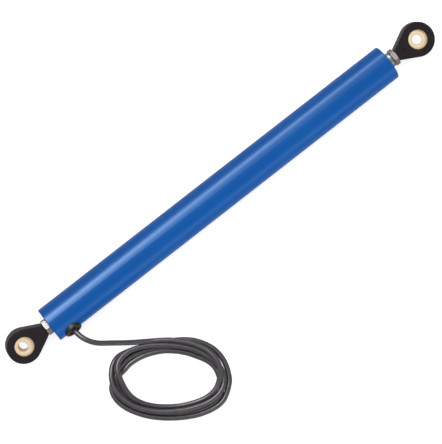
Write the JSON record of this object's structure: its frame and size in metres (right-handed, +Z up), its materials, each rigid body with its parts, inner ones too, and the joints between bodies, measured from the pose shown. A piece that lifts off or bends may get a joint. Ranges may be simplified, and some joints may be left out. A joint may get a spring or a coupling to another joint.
{
  "type": "linear position sensor",
  "caption": "Slim tubular linear position sensor with a sliding shaft, a self-aligning rod end at each end and a thin signal cable in a coil.",
  "frame": {"origin": "centre of the rear ball, on the axis of the tube", "axes": "+X along the tube from the rear eye to the front eye, +Z up from the surface that the tube lies on"},
  "size_m": [0.274, 0.0946, 0.0192],
  "materials": {
    "blue_tube": "satin blue anodised",
    "black_plastic": "moulded black",
    "seal_rubber": "matte",
    "bright_steel": "bright",
    "eye_plastic": "fine moulded grain",
    "nut_steel": "plated",
    "ball_plastic": "smooth tan",
    "grommet_rubber": "matte",
    "cable_jacket": "satin jacket",
    "wire_sleeve": "smooth",
    "strip_board": "printed board",
    "bush_bronze": "turned",
    "carriage_plastic": "moulded natural",
    "contact_brass": "sprung",
    "shaft_steel": "ground and polished"
  },
  "bodies": {
    "housing": {"housing_tube": "blue_tube", "rear_cap": "black_plastic", "rear_cap_seal": "seal_rubber", "rear_retaining_ring": "bright_steel", "rear_rod_end": "eye_plastic", "rear_locknut": "nut_steel", "cable_grommet": "grommet_rubber", "cable_clamp": "bright_steel", "cable_lead": "cable_jacket", "cable_coil": "cable_jacket", "signal_leads": "wire_sleeve", "track_carrier": "black_plastic", "resistive_strip": "strip_board", "rear_buffer": "seal_rubber", "front_buffer": "seal_rubber", "front_cap": "black_plastic", "front_cap_seal": "seal_rubber", "front_retaining_ring": "bright_steel", "shaft_bush": "bush_bronze", "shaft_scraper": "seal_rubber"},
    "carriage": {"wiper_carriage": "carriage_plastic", "wiper_contacts": "contact_brass"},
    "shaft": {"shaft": "shaft_steel", "carriage_clip": "bright_steel", "thrust_washer": "carriage_plastic", "front_locknut": "nut_steel", "front_rod_end": "eye_plastic"},
    "rear_ball": {"rear_ball": "ball_plastic"},
    "front_ball": {"front_ball": "ball_plastic"}
  },
  "joints": [
    {"name": "shaft_slide", "type": "slide", "parent": "housing", "child": "carriage", "axis": [1, 0, 0], "range_m": [0, 0.15]},
    {"name": "shaft_turn", "type": "hinge", "parent": "carriage", "child": "shaft", "pos_m": [0.043, 0, 0], "axis": [1, 0, 0], "continuous": true},
    {"name": "rear_ball_tilt", "type": "hinge", "parent": "housing", "child": "rear_ball", "pos_m": [0, 0, 0], "axis": [1, 0, 0], "range_deg": [-4, 26]},
    {"name": "front_ball_tilt", "type": "hinge", "parent": "shaft", "child": "front_ball", "pos_m": [0.2558, 0, 0], "axis": [0, 0.9945, 0.1045], "range_deg": [-5, 25]}
  ]
}
